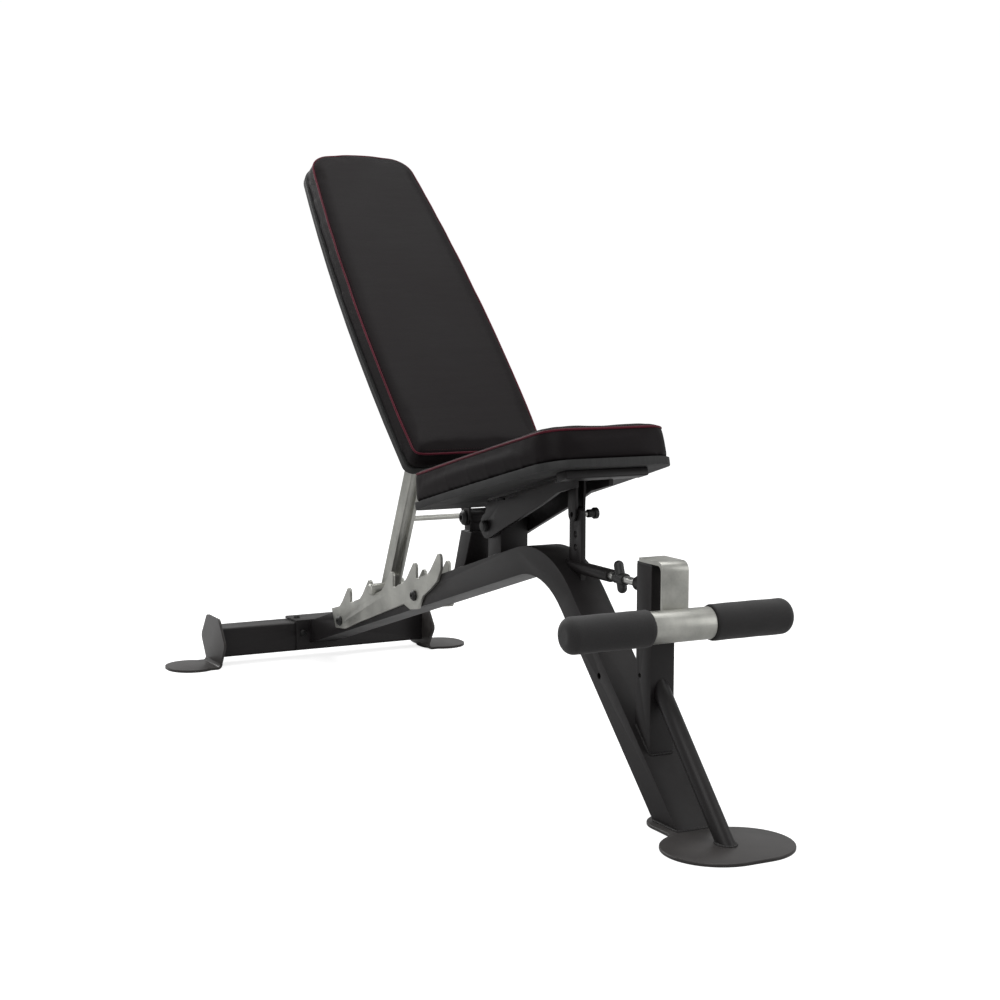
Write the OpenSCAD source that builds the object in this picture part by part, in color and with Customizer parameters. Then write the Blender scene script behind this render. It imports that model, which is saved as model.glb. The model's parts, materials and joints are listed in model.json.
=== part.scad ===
// Adjustable weight bench: bent steel beam, ladder-set backrest, tilting seat and a leg roller on a post.
// +Z is up, the roller end points along -Y, and the bench is symmetric about the plane X = 0.

/* [Frame beam] */
// Width of the main beam tube across the bench
beam_w = 60; // [40:1:80]
// Depth of the main beam tube in side view
beam_d = 45; // [35:1:60]
// Wall of the main beam tube
beam_wall = 3; // [2:0.5:5]
// Rise of the beam towards the front, in degrees
beam_rise = 16.2; // [10:0.1:20]
// Slope of the front leg below horizontal, in degrees
leg_drop = 44; // [38:0.5:55]
// Distance from the bench datum forward to the corner of beam and leg
corner_y = 270; // [220:5:330]
// Height of the corner of the beam and leg centre lines
corner_z = 352.5; // [320:0.5:400]
// Centre line radius of the bend
bend_r = 163; // [120:1:200]

/* [Rear stabiliser] */
// Distance from the bench datum back to the stabiliser tube
stabiliser_y = 782; // [700:1:900]
// Length of the stabiliser tube
stabiliser_l = 458; // [380:1:600]
// Side of the square stabiliser tube
stabiliser_s = 60; // [45:1:80]
// Height of the tube's underside above the floor
stabiliser_z = 18; // [12:1:40]
// Wall of the stabiliser tube
stabiliser_wall = 3; // [2:0.5:5]
// Width of the saddle plate that joins beam and stabiliser
saddle_w = 120; // [90:1:160]
// Thickness of saddle and foot plates
plate_t = 5; // [3:0.5:8]

/* [Feet] */
// Reach of each rear foot beyond the end of the stabiliser
foot_reach = 102; // [80:1:140]
// Width of the rear foot where it bends
foot_neck = 94; // [70:1:110]
// Width of the upright part of the rear foot
foot_shield = 145; // [110:1:170]
// Height of the upright part of the rear foot
foot_h = 101; // [90:1:130]
// Distance of the foot centre ahead of the stabiliser centre
foot_lead = 12; // [0:1:20]
// Distance from the bench datum forward to the centre of the front foot
front_foot_y = 742; // [690:1:800]
// Half width of the front foot
front_foot_a = 97; // [80:1:120]
// Half length of the front foot
front_foot_b = 78; // [60:1:90]

/* [Roller post] */
// Side of the square roller post
post_s = 40; // [36:1:50]
// Wall of the roller post
post_wall = 3; // [2:0.5:4]
// Distance from the bench datum forward to the post centre
post_y = 551; // [530:1:580]
// Height of the post's open top
post_top = 368; // [340:1:420]
// Diameter of the brace rod in front of the post
brace_d = 26; // [18:1:32]
// Side of the sliding stem inside the post
stem_s = 30; // [24:1:31]
// Length of the sliding stem below the hook
stem_l = 180; // [160:1:200]
// Spacing of the height holes
hole_pitch = 25; // [20:1:30]
// Diameter of the height holes
hole_d = 13; // [13:0.5:14]
// Height of the post's pull pin
post_pin_z = 334; // [325:1:338]

/* [Leg roller] */
// Thickness of the hook plate
hook_t = 6; // [4:0.5:8]
// Width of the hook plate
hook_w = 44; // [38:1:60]
// Clear gap between the post and the hook's front leg
hook_gap = 27; // [20:1:40]
// Height of the roller axis
roller_z = 288.5; // [270:0.5:300]
// Diameter of the bare tube in the middle
roller_tube_d = 47; // [40:0.5:50]
// Half length of the bare tube
roller_bare = 50.5; // [40:0.5:70]
// Diameter of the foam rollers
roller_d = 53; // [50:0.5:90]
// Distance from the middle to each roller's outer end
roller_reach = 188; // [150:1:230]
// Diameter of the axle inside the rollers
axle_d = 25; // [18:1:28]

/* [Backrest] */
// Distance from the bench datum back to the backrest hinge
hinge_y = 25; // [20:1:35]
// Height of the backrest hinge
hinge_z = 375; // [370:1:385]
// Angle of the backrest in its second ladder notch, in degrees
back_angle = 45; // [45:0.1:46]
// Length of the back pad
back_l = 769; // [600:1:850]
// Distance along the backrest from the hinge to the pad's lower end
back_start = 65; // [64:1:90]
// Half width of the back pad at its widest
back_half = 136; // [110:1:160]
// Thickness of the foam in the back pad
back_foam = 39; // [25:1:60]
// Thickness of the plywood boards
board_t = 12; // [9:0.5:18]
// Depth of the backrest channel
channel_d = 40; // [36:1:50]
// Width of the backrest channel
channel_w = 50; // [46:1:60]
// Wall of the backrest channel
channel_wall = 3.5; // [2:0.5:4]

/* [Support strut and ladder] */
// Diameter of the strut's crossbar
crossbar_d = 22; // [18:1:26]
// Half length of the crossbar
crossbar_half = 45; // [42:1:60]
// Width of the strut across the bench
strut_w = 26; // [20:1:32]
// Depth of the strut in side view
strut_d = 30; // [24:1:34]
// Pitch of the ladder notches
notch_pitch = 108; // [100:1:115]
// Height of the tooth tips above the crossbar's centre
tooth_rise = 15; // [12:1:18]
// Thickness of the ladder plates
ladder_t = 6; // [4:0.5:8]

/* [Seat] */
// Distance from the bench datum forward to the seat pivot
seat_pivot_y = 75; // [72:1:78]
// Height of the seat pivot
seat_pivot_z = 372; // [370:1:376]
// Slope of the seat in its highest hole, in degrees
seat_tilt = 14; // [12:0.1:14.5]
// How far the seat tips down from its highest to its lowest hole, in degrees
seat_travel = 11.9; // [10:0.1:12]
// Length of the seat pad
seat_l = 435; // [380:1:480]
// Half width of the seat pad at the back
seat_half = 143; // [110:1:150]
// Half width of the seat pad at the front
seat_front_half = 112; // [90:1:130]
// Thickness of the foam in the seat pad
seat_foam = 53; // [25:1:60]
// Thickness of the seat bracket plates
bracket_t = 7; // [4:0.5:8]

/* [Hidden] */
$fn = 64;

run_gap = 0.05;        // radial clearance of a pin that turns or slides in its bore
slip_gap = 0.3;        // clearance between pieces that only pass each other
weld = 0.5;            // overlap that joins two outlines into one
big = 2000;            // size of cutting blocks
sides = [-1, 1];

// the datum is shifted so that the origin lies in the middle of the bench's length
front_tip = -front_foot_y - front_foot_b;
foot_y = stabiliser_y - foot_lead;
rear_tip = foot_y + foot_shield / 2;
y0 = -(front_tip + rear_tip) / 2;

// beam path in side view, as [y, z]
corner = [-corner_y, corner_z];
turn = beam_rise + leg_drop;
tangent_l = bend_r * tan(turn / 2);
beam_dir = [-cos(beam_rise), sin(beam_rise)];
leg_dir = [-cos(leg_drop), -sin(leg_drop)];
bend_centre = corner - tangent_l * beam_dir + bend_r * [-sin(beam_rise), -cos(beam_rise)];
function beam_z(y) = corner[1] + (-corner_y - y) * tan(beam_rise);
function beam_top(y) = beam_z(y) + beam_d / 2 / cos(beam_rise);
function leg_z(y) = corner[1] + (y + corner_y) * tan(leg_drop);
function leg_front(y) = leg_z(y) + beam_d / 2 / cos(leg_drop);
// where the outer side of the bend stands at height z
function bend_face_y(z) = bend_centre[0] - sqrt(pow(bend_r + beam_d / 2, 2) - pow(z - bend_centre[1], 2));

// rear end
saddle_y = stabiliser_y - stabiliser_s / 2 - plate_t;
stabiliser_top = stabiliser_z + stabiliser_s;
foot_bend = 6;
foot_x = stabiliser_l / 2;
saddle_bolt_x = saddle_w / 2 - 14;
bolt_r = 5;
small_bolt_r = 3.5;

// roller post, stem and pull pin
post_front = -post_y - post_s / 2;
post_back = -post_y + post_s / 2;
post_bore = post_s - 2 * post_wall;
bushing_lip = 4;
bushing_l = 22;
hook_z = post_top + bushing_lip;
stem_wall = 2.5;
stem_holes = 5;
pin_r = 6;
post_pin_tip = post_back - post_wall + 1;
housing_l = 50;
housing_r = 11;
handle_y = -452;
handle_l = 50;
handle_r = 7.5;
handle_lean = 18;
guide_end = -425;
guide_r = 10;
pin_tail = guide_end + 25;

// leg roller
hook_front = post_front - hook_gap - hook_t;
roller_y = hook_front - 9;
core_wall = 2.5;
core_r = axle_d / 2 + run_gap;
foam_start = roller_bare + 0.5;
axle_half = roller_reach - 8;
foam_round = 14;

// backrest, in a plane of [along, out] measured from the hinge
hinge = [hinge_y, hinge_z];
hinge_r = 8;
knuckle_r = 15;
knuckle_half = channel_w / 2 - channel_wall - 1.5;
channel_back = 4;
channel_face = channel_back + channel_d;
channel_l = 620;
ear_r = 14;
back_round = 44;
back_round_low = 16;
back_crown = 5;
back_lip = 1;
strut_at = [280, 20];
strut_pin_r = 7;
crossbar_steps = [175, 545];

// ladder notches, as the crossbar's centre in side view, counted from the rear
notch_step = notch_pitch * beam_dir;
notch_two = [400, 197];
notches = [for (i = [0 : 4]) notch_two + (i - 1) * notch_step];
ladder_x = beam_w / 2;
ladder_bolts_y = [565, 209];
strut_foot = notches[1];

// seat, in a plane of [forward, up] measured from the top edge at the rear of the pad
seat_pivot = [-seat_pivot_y, seat_pivot_z];
seat_rear = [0, 459.5];
seat_under = -seat_foam - board_t;
seat_round = 45;
seat_round_rear = 20;
seat_lip = 3;
bracket_x = 27;
seat_pivot_r = 6;
bracket_r = 21;
upright_w = 50;
upright_d = 46;
front_upright_top = seat_pivot_z + 16;
strap_w = 37;
strap_t = 8;
strap_top = 426;
seat_pin_at = [-319, 416];
seat_pin_r = 4;
seat_pin_travel = 9;
strap_mid = seat_pin_at[0] - 3;
strap_foot = 300;
// where a point of the seat comes to when the seat tips down by a degrees
function tipped(p, a) = seat_pivot + [(p[0] - seat_pivot[0]) * cos(a) - (p[1] - seat_pivot[1]) * sin(a),
    (p[0] - seat_pivot[0]) * sin(a) + (p[1] - seat_pivot[1]) * cos(a)];
strap_holes = [for (a = [0, seat_travel * 0.6, seat_travel]) tipped(seat_pin_at, a)];
lug_x = strap_t / 2 + 1;
lug_t = 4;
seat_pin_tip = strap_t / 2 + 0.6;

// ---------- helpers ----------

// turns a side view drawn as [y, z] into a solid of width w about the plane X = 0
module side(w) {
    rotate([90, 0, 90]) linear_extrude(w, center = true) children();
}

// the same, between x = from and x = from + w
module side_at(from, w) {
    translate([from, 0, 0]) rotate([90, 0, 90]) linear_extrude(w) children();
}

// a solid that lies the same on both sides of the bench
module both_sides() {
    for (s = sides) mirror([s < 0 ? 1 : 0, 0, 0]) children();
}

module datum() {
    translate([0, y0, 0]) children();
}

// a straight strip of width w from a to b, in side view
module strip(a, b, w) {
    d = b - a;
    translate(a) rotate(atan2(d[1], d[0])) translate([0, -w / 2]) square([norm(d), w]);
}

// a rod along X through the side-view point at
module cross_rod(at, r, x1, x2) {
    translate([x1, at[0], at[1]]) rotate([0, 90, 0]) cylinder(r = r, h = x2 - x1);
}

// a button-head bolt on a face at x, pointing outwards along +X, at a side-view point
module button_head(at, x, r, h) {
    translate([x, at[0], at[1]]) rotate([0, 90, 0]) difference() {
        union() {
            cylinder(r = r, h = h * 0.4);
            translate([0, 0, h * 0.4]) cylinder(r1 = r, r2 = r * 0.62, h = h * 0.6);
        }
        translate([0, 0, h * 0.5]) cylinder(r = r * 0.36, h = h, $fn = 6);
    }
}

// side-view frame of the backrest: x runs up along it and y out towards the lifter
module back_plane() {
    translate(hinge) rotate(back_angle) children();
}

// the same frame in space, with X across the bench
module on_back() {
    translate([0, hinge[0], hinge[1]]) rotate([back_angle, 0, 0]) children();
}

// side-view frame of the seat: x runs forward and y up from the pad's top rear edge
module seat_plane() {
    translate(seat_rear) rotate(-seat_tilt) mirror([1, 0]) children();
}

// the same frame in space: -Y runs forward along the seat and Z up from its top
module on_seat() {
    translate([0, seat_rear[0], seat_rear[1]]) rotate([-seat_tilt, 0, 0]) children();
}

function back_point(p) = hinge + [p[0] * cos(back_angle) - p[1] * sin(back_angle),
    p[0] * sin(back_angle) + p[1] * cos(back_angle)];

strut_pivot = back_point(strut_at);

// ---------- frame ----------

module beam_outline(depth) {
    union() {
        strip([saddle_y + 60, beam_z(saddle_y + 60)], corner - (tangent_l - weld) * beam_dir, depth);
        strip(corner + (tangent_l - weld) * leg_dir, corner + 560 * leg_dir, depth);
        intersection() {
            translate(bend_centre) difference() {
                circle(bend_r + depth / 2, $fn = 128);
                circle(bend_r - depth / 2, $fn = 128);
            }
            polygon([bend_centre, bend_centre + 2 * (corner - tangent_l * beam_dir - bend_centre),
                bend_centre + 3 * (corner - bend_centre),
                bend_centre + 2 * (corner + tangent_l * leg_dir - bend_centre)]);
        }
    }
}

module main_beam() {
    color("#3a3838") datum() difference() {
        side(beam_w) beam_outline(beam_d);
        side(beam_w - 2 * beam_wall) beam_outline(beam_d - 2 * beam_wall);
        translate([-big / 2, saddle_y, -big / 2]) cube(big);
        translate([-big / 2, -big / 2, plate_t - big]) cube(big);
        for (y = ladder_bolts_y) cross_rod([y, beam_z(y)], bolt_r + run_gap, -beam_w, beam_w);
        cross_rod([-442, leg_z(-442)], bolt_r, -beam_w, 0);
    }
}

module rear_saddle() {
    color("#333232") datum() difference() {
        union() {
            translate([-saddle_w / 2, saddle_y, stabiliser_z + 2])
                cube([saddle_w, plate_t, stabiliser_s - 2 + plate_t]);
            translate([-saddle_w / 2, saddle_y, stabiliser_top])
                cube([saddle_w, stabiliser_s + plate_t + 1, plate_t]);
        }
        saddle_bolt_bores(small_bolt_r);
    }
}

module saddle_bolt_bores(r) {
    for (s = sides) {
        translate([s * saddle_bolt_x, stabiliser_y, stabiliser_top - 10]) cylinder(r = r, h = 30);
        translate([s * saddle_bolt_x, saddle_y - 10, stabiliser_z + 38]) rotate([-90, 0, 0])
            cylinder(r = r, h = 30);
    }
}

module saddle_bolts() {
    color("#1c1c1c") datum() for (s = sides) {
        translate([s * saddle_bolt_x, stabiliser_y, stabiliser_top + plate_t]) saddle_bolt();
        translate([s * saddle_bolt_x, saddle_y, stabiliser_z + 38]) rotate([90, 0, 0]) saddle_bolt();
    }
}

module saddle_bolt() {
    head_r = 7;
    grip = plate_t + stabiliser_wall;
    union() {
        cylinder(r1 = head_r, r2 = head_r - 2, h = 4.5);
        translate([0, 0, -grip]) cylinder(r = small_bolt_r - run_gap, h = grip + 1);
    }
}

module rounded_square(s, r) {
    union() {
        square([s, s - 2 * r], center = true);
        square([s - 2 * r, s], center = true);
        for (x = sides, y = sides) translate([x * (s / 2 - r), y * (s / 2 - r)]) circle(r);
    }
}

module rear_stabiliser() {
    tube_round = 5;
    color("#3a3838") datum() difference() {
        translate([0, stabiliser_y, stabiliser_z + stabiliser_s / 2]) rotate([90, 0, 90])
            linear_extrude(stabiliser_l, center = true) difference() {
                rounded_square(stabiliser_s, tube_round);
                square(stabiliser_s - 2 * stabiliser_wall - 1, center = true);
            }
        saddle_bolt_bores(small_bolt_r);
    }
}

// one bent plate: an upright shield that closes the tube's end, and a round flange on the floor
module rear_foot() {
    shield_mid = 52;
    corner_r = 12;
    flange_r = 50;
    bend_x = foot_x + plate_t + foot_bend;
    flange_x = foot_x + foot_reach - flange_r;
    translate([foot_x, 0, 0]) rotate([90, 0, 90]) linear_extrude(plate_t) translate([foot_y, 0]) hull() {
        for (s = sides) {
            translate([s * (foot_neck / 2 - 1), foot_bend + plate_t + 1]) circle(1);
            translate([s * (foot_shield / 2 - corner_r), shield_mid]) circle(corner_r, $fn = 32);
            translate([s * (foot_shield * 0.3 - corner_r), foot_h - corner_r]) circle(corner_r, $fn = 32);
        }
    }
    translate([bend_x, foot_y - foot_neck / 2, foot_bend + plate_t]) rotate([-90, 0, 0]) difference() {
        cylinder(r = foot_bend + plate_t, h = foot_neck);
        translate([0, 0, -1]) cylinder(r = foot_bend, h = foot_neck + 2);
        translate([0, -50, -1]) cube([50, 100, foot_neck + 2]);
        translate([-50, -50, -1]) cube([100, 50, foot_neck + 2]);
    }
    linear_extrude(plate_t) union() {
        hull() for (s = sides) translate([flange_x, foot_y + s * 5]) circle(flange_r, $fn = 48);
        translate([bend_x, foot_y - foot_neck / 2]) square([flange_x - bend_x, foot_neck]);
    }
}

module rear_foot_right() {
    color("#2e2d2d") datum() rear_foot();
}

module rear_foot_left() {
    color("#2e2d2d") datum() mirror([1, 0, 0]) rear_foot();
}

module front_foot_plate() {
    lobe_r = 45;
    lobe_end = -572;
    fillet = 15;
    color("#2e2d2d") datum() linear_extrude(plate_t) offset(r = -fillet) offset(r = fillet) union() {
        hull() for (s = sides)
            translate([s * (front_foot_a - front_foot_b), -front_foot_y]) circle(front_foot_b, $fn = 72);
        hull() {
            translate([0, lobe_end - lobe_r]) circle(lobe_r, $fn = 48);
            translate([0, -front_foot_y]) circle(lobe_r, $fn = 48);
        }
    }
}

module front_brace_rod() {
    top = [post_front, 185];
    foot = [-front_foot_y, 0];
    run = foot - top;
    reach = norm(run);
    color("#333232") datum() difference() {
        translate([0, top[0], top[1]]) rotate([atan2(-run[0], run[1]), 0, 0])
            translate([0, 0, -20]) cylinder(d = brace_d, h = reach + 40);
        translate([-big / 2, post_front, -big / 2]) cube(big);
        translate([-big / 2, -big, plate_t - big]) cube(big);
    }
}

module roller_post() {
    color("#3a3838") datum() difference() {
        side(post_s) polygon([[post_front, post_top], [post_back, post_top],
            [post_back, leg_front(post_back)], [post_front, leg_front(post_front)]]);
        translate([-post_bore / 2, post_front + post_wall, 0]) cube([post_bore, post_bore, post_top + 1]);
        translate([0, -post_y, post_pin_z]) rotate([-90, 0, 0]) cylinder(r = pin_r + run_gap, h = post_s);
        cross_rod([post_back - 10, 205], small_bolt_r, -post_s, 0);
    }
}

module post_bushing() {
    bore = stem_s + 2 * slip_gap;
    color("#161616") datum() difference() {
        union() {
            translate([-post_bore / 2, -post_y - post_bore / 2, post_top - bushing_l])
                cube([post_bore, post_bore, bushing_l]);
            translate([-post_s / 2, post_front, post_top]) cube([post_s, post_s, bushing_lip]);
        }
        translate([-bore / 2, -post_y - bore / 2, post_top - bushing_l - 1])
            cube([bore, bore, bushing_l + bushing_lip + 2]);
    }
}

// barrel on the back of the post that carries the front end of the pull pin
module post_pin_housing() {
    color("#262626") datum() translate([0, post_back, post_pin_z]) rotate([-90, 0, 0]) difference() {
        union() {
            cylinder(r = housing_r, h = housing_l * 0.55);
            cylinder(r = housing_r + 3, h = 5);
            translate([0, 0, housing_l * 0.55]) cylinder(r1 = housing_r, r2 = housing_r - 2, h = 3);
        }
        translate([0, 0, -1]) cylinder(r = pin_r + run_gap, h = housing_l);
    }
}

// tube on the leg that carries the rear end of the pull pin
module post_pin_guide() {
    color("#262626") datum() difference() {
        translate([0, guide_end, post_pin_z]) rotate([-90, 0, 0]) cylinder(r = guide_r, h = 200);
        translate([0, guide_end - 1, post_pin_z]) rotate([-90, 0, 0]) cylinder(r = pin_r + run_gap, h = 40);
        side(beam_w + 1) beam_outline(beam_d);
        side(strap_t) translate([strap_mid - strap_w / 2, strap_foot])
            square([strap_w, strap_top - strap_foot]);
        translate([-big / 2, bend_face_y(post_pin_z) + 20, -big / 2]) cube(big);
    }
}

module rear_upright() {
    foot_front = 27;
    foot_back = 68;
    top_z = hinge_z - 23;
    lean = 6;
    color("#3a3838") datum() difference() {
        union() {
            side(upright_w) polygon([[foot_front, beam_top(foot_front)], [foot_back, beam_top(foot_back)],
                [hinge_y + 20 - lean, top_z], [hinge_y - 20 - lean, top_z]]);
            side(2 * knuckle_half) union() {
                translate(hinge) circle(knuckle_r);
                translate([hinge_y - 11, top_z - 1]) square([22, hinge_z - top_z + 1]);
            }
        }
        cross_rod(hinge, hinge_r + run_gap, -upright_w, upright_w);
    }
}

module front_upright() {
    rear = -seat_pivot_y + 10;
    front = rear - upright_d;
    wall = 3;
    color("#3a3838") datum() difference() {
        side(upright_w) polygon([[front, beam_top(front)], [rear, beam_top(rear)],
            [rear, front_upright_top], [front, front_upright_top]]);
        side(upright_w - 2 * wall) polygon([[front + wall, beam_top(front)], [rear - wall, beam_top(rear) - 5],
            [rear - wall, front_upright_top - wall], [front + wall, front_upright_top - wall]]);
        cross_rod(seat_pivot, seat_pivot_r + run_gap, -upright_w, upright_w);
    }
}

module seat_strap() {
    round_r = 6;
    color("#2b2a2a") datum() difference() {
        side(strap_t) difference() {
            translate([strap_mid, 0]) union() {
                translate([-strap_w / 2, strap_foot]) square([strap_w, strap_top - strap_foot - round_r]);
                translate([round_r - strap_w / 2, strap_foot])
                    square([strap_w - 2 * round_r, strap_top - strap_foot]);
                for (s = sides) translate([s * (strap_w / 2 - round_r), strap_top - round_r]) circle(round_r);
            }
            beam_outline(beam_d);
        }
        for (p = strap_holes) cross_rod(p, seat_pin_r + 1.5, -strap_t, strap_t);
    }
}

// ---------- ladder ----------

module ladder_outline() {
    shank = 41;
    tip_r = 8;
    wall_y = crossbar_d / 2 + slip_gap;
    tip = [wall_y + tip_r, tooth_rise - tip_r];
    function on_floor(y) = [y, 2 - crossbar_d / 2 - y * tan(beam_rise)];
    tooth = concat([on_floor(-14), on_floor(wall_y), [wall_y, tip[1]]],
        [for (a = [165 : -15 : 30]) tip + tip_r * [cos(a), sin(a)]],
        [[wall_y + shank, -crossbar_d / 2 - 6], on_floor(wall_y + shank + 14)]);
    underside = [[612, 128], [590, 92], [545, 97], [472, 122], [258, 190], [230, 184], [196, 190],
        [175, 217], [141, 235], [116, 252]];
    difference() {
        polygon(concat(underside, [for (i = [4 : -1 : 0], p = tooth) if (i < 4 || p[0] > 0) notches[i] + p]));
        for (n = notches) translate(n) circle(crossbar_d / 2 + slip_gap);
        for (y = ladder_bolts_y) translate([y, beam_z(y)]) circle(bolt_r + run_gap);
    }
}

module ladder_plate_right() {
    color("#96958f") datum() side_at(ladder_x, ladder_t) ladder_outline();
}

module ladder_plate_left() {
    color("#96958f") datum() side_at(-ladder_x - ladder_t, ladder_t) ladder_outline();
}

module ladder_bolts() {
    outer = ladder_x + ladder_t;
    color("#1a1a1a") datum() for (y = ladder_bolts_y) {
        at = [y, beam_z(y)];
        cross_rod(at, bolt_r, -outer, outer);
        both_sides() button_head(at, outer, 10, 7);
    }
}

// ---------- backrest ----------

module channel_flange() {
    union() {
        circle(ear_r);
        polygon([[-ear_r, 0], [46, 0], [46, channel_face], [16, channel_face], [-ear_r, 10]]);
        translate([0, channel_back]) square([channel_l, channel_d]);
    }
}

module back_channel() {
    half = channel_w / 2;
    color("#3a3838") datum() difference() {
        union() {
            for (x = [-half, half - channel_wall]) side_at(x, channel_wall) back_plane() channel_flange();
            side(channel_w - 1) back_plane() translate([back_start - 10, channel_face - channel_wall])
                square([channel_l - back_start + 10, channel_wall]);
        }
        cross_rod(hinge, hinge_r + run_gap, -channel_w, channel_w);
        cross_rod(strut_pivot, strut_pin_r + run_gap, -channel_w, channel_w);
        for (t = back_screw_steps) on_back() translate([0, t, 0]) cylinder(r = small_bolt_r, h = 60);
    }
}

back_screw_steps = [130, 380, 590];

// flat bars welded to the channel, which the board is screwed to
module back_crossbars() {
    bar_w = 38;
    bar_t = 5;
    reach = 92;
    color("#3a3838") datum() for (t = crossbar_steps) both_sides() on_back()
        difference() {
            translate([channel_w / 2, t, channel_face - bar_t]) cube([reach - channel_w / 2, bar_w, bar_t]);
            translate([reach - 16, t + bar_w / 2, 0]) cylinder(r = small_bolt_r, h = 60);
        }
}

module back_hinge_pin() {
    half = channel_w / 2;
    color("#1d1d1d") datum() {
        cross_rod(hinge, hinge_r, -half, half);
        both_sides() button_head(hinge, half, 13, 7);
    }
}

// half width of the back pad at a share u of its length
function back_width(u) = back_half * (0.955 + 0.25 * u - 0.43 * u * u);

// half outline of the back pad, from its lower end round to its crowned upper end
function back_side(inset) = concat(
    [[0, inset]],
    [for (a = [90 : -10 : 0]) let (t = back_round_low - (back_round_low - inset) * sin(a))
        [back_width(t / back_l) - inset - (back_round_low - inset) * (1 - cos(a)), t]],
    [for (u = [0.15 : 0.1 : 0.85]) [back_width(u) - inset, u * back_l]],
    [for (a = [0 : 10 : 90]) let (t = back_l - back_crown - back_round + (back_round - inset) * sin(a))
        [back_width(t / back_l) - inset - (back_round - inset) * (1 - cos(a)), t]],
    [[back_width(1) * 0.3, back_l - inset - back_crown * 0.25], [0, back_l - inset]]);

function mirrored(half) = concat(half,
    [for (i = [len(half) - 1 : -1 : 0]) if (half[i][0] > 0) [-half[i][0], half[i][1]]]);

module back_outline(inset) {
    translate([0, back_start]) polygon(mirrored(back_side(inset)));
}

module back_board() {
    color("#141414") datum() on_back() difference() {
        translate([0, 0, channel_face]) linear_extrude(board_t) back_outline(0);
        for (t = back_screw_steps) translate([0, t, 0]) cylinder(r = small_bolt_r, h = 60);
        for (t = crossbar_steps, s = sides)
            translate([s * 76, t + 19, 0]) cylinder(r = small_bolt_r, h = 60);
    }
}

module back_pad() {
    color("#2a2727") datum() on_back() translate([0, 0, channel_face + board_t])
        linear_extrude(back_foam) back_outline(back_lip);
}

module back_screws() {
    head_h = 4;
    shank_l = 8;
    color("#1d1d1d") datum() on_back() {
        for (t = back_screw_steps) translate([0, t, channel_face - channel_wall - head_h]) {
            cylinder(r = 7, h = head_h);
            cylinder(r = small_bolt_r - run_gap, h = head_h + channel_wall + shank_l);
        }
        for (t = crossbar_steps, s = sides) translate([s * 76, t + 19, channel_face - 5 - head_h]) {
            cylinder(r = 7, h = head_h);
            cylinder(r = small_bolt_r - run_gap, h = head_h + 5 + shank_l);
        }
    }
}

// ---------- strut ----------

module strut_pivot_pin() {
    half = channel_w / 2;
    color("#1d1d1d") datum() {
        cross_rod(strut_pivot, strut_pin_r, -half, half);
        both_sides() button_head(strut_pivot, half, 11, 6);
    }
}

module strut_spacers() {
    from = strut_w / 2 + slip_gap;
    to = channel_w / 2 - channel_wall;
    color("#d0cec6") datum() both_sides() difference() {
        cross_rod(strut_pivot, 12, from, to);
        cross_rod(strut_pivot, strut_pin_r + run_gap, 0, beam_w);
    }
}

module support_strut() {
    groove_w = 12;
    groove_d = 6;
    run = strut_foot - strut_pivot;
    lean = atan2(run[1], run[0]);
    color("#96958f") datum() difference() {
        side(strut_w) union() {
            strip(strut_pivot, strut_foot, strut_d);
            translate(strut_pivot) circle(strut_d / 2 + 1);
            translate(strut_foot) circle(strut_d / 2 - 0.8);
        }
        cross_rod(strut_pivot, strut_pin_r + run_gap, -beam_w, beam_w);
        cross_rod(strut_foot, crossbar_d / 2, -beam_w, beam_w);
        side(groove_w) translate(strut_pivot) rotate(lean)
            translate([30, -strut_d / 2 - 1]) square([norm(run) - 70, groove_d + 1]);
    }
}

module strut_crossbar() {
    cap_round = 3;
    color("#96958f") datum() {
        cross_rod(strut_foot, crossbar_d / 2, -crossbar_half + cap_round, crossbar_half - cap_round);
        both_sides() translate([crossbar_half - cap_round, strut_foot[0], strut_foot[1]]) rotate([0, 90, 0])
            cylinder(r1 = crossbar_d / 2, r2 = crossbar_d / 2 - cap_round, h = cap_round);
    }
}

// lifting rod on the right side of the strut
module strut_handle() {
    share = 0.64;
    rod_r = 5;
    reach = 100;
    at = strut_pivot + share * (strut_foot - strut_pivot);
    color("#a3a29b") datum() {
        cross_rod(at, rod_r, strut_w / 2, strut_w / 2 + reach);
        translate([strut_w / 2 + reach, at[0], at[1]]) sphere(rod_r);
        translate([strut_w / 2, at[0], at[1]]) rotate([0, 90, 0]) cylinder(r1 = 8, r2 = rod_r, h = 6);
    }
}

// ---------- seat ----------

module bracket_outline() {
    tail = -372;
    difference() {
        union() {
            translate(seat_pivot) circle(bracket_r);
            polygon([seat_pivot + [6, bracket_r - 1], seat_pivot + [-12, -bracket_r + 3], [-132, 373],
                [-260, 425], [-317, 451], [tail, 464], [tail, 520], [-90, 470], [-88, 425]]);
        }
        seat_plane() translate([-big / 2, seat_under]) square([big, big]);
        translate(seat_pivot) circle(seat_pivot_r + run_gap);
    }
}

// bracket plate with an outward flange under the seat board
module seat_bracket(s) {
    flange_w = 26;
    flange_t = 4;
    color("#3a3838") datum() mirror([s < 0 ? 1 : 0, 0, 0]) {
        side_at(bracket_x, bracket_t) bracket_outline();
        on_seat() difference() {
            translate([bracket_x + bracket_t - weld, -360, seat_under - flange_t])
                cube([flange_w + weld, 240, flange_t]);
            for (y = seat_screw_steps) translate([bracket_x + bracket_t + flange_w / 2, y, seat_under - 10])
                cylinder(r = small_bolt_r, h = 30);
        }
    }
}

seat_screw_steps = [-340, -140];

module seat_bracket_right() {
    seat_bracket(1);
}

module seat_bracket_left() {
    seat_bracket(-1);
}

module seat_front_rail() {
    rail_l = 144;
    rail_w = 30;
    rail_h = 13;
    color("#333232") datum() on_seat()
        translate([-rail_l / 2, -seat_l + 28, seat_under - rail_h]) cube([rail_l, rail_w, rail_h]);
}

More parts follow.
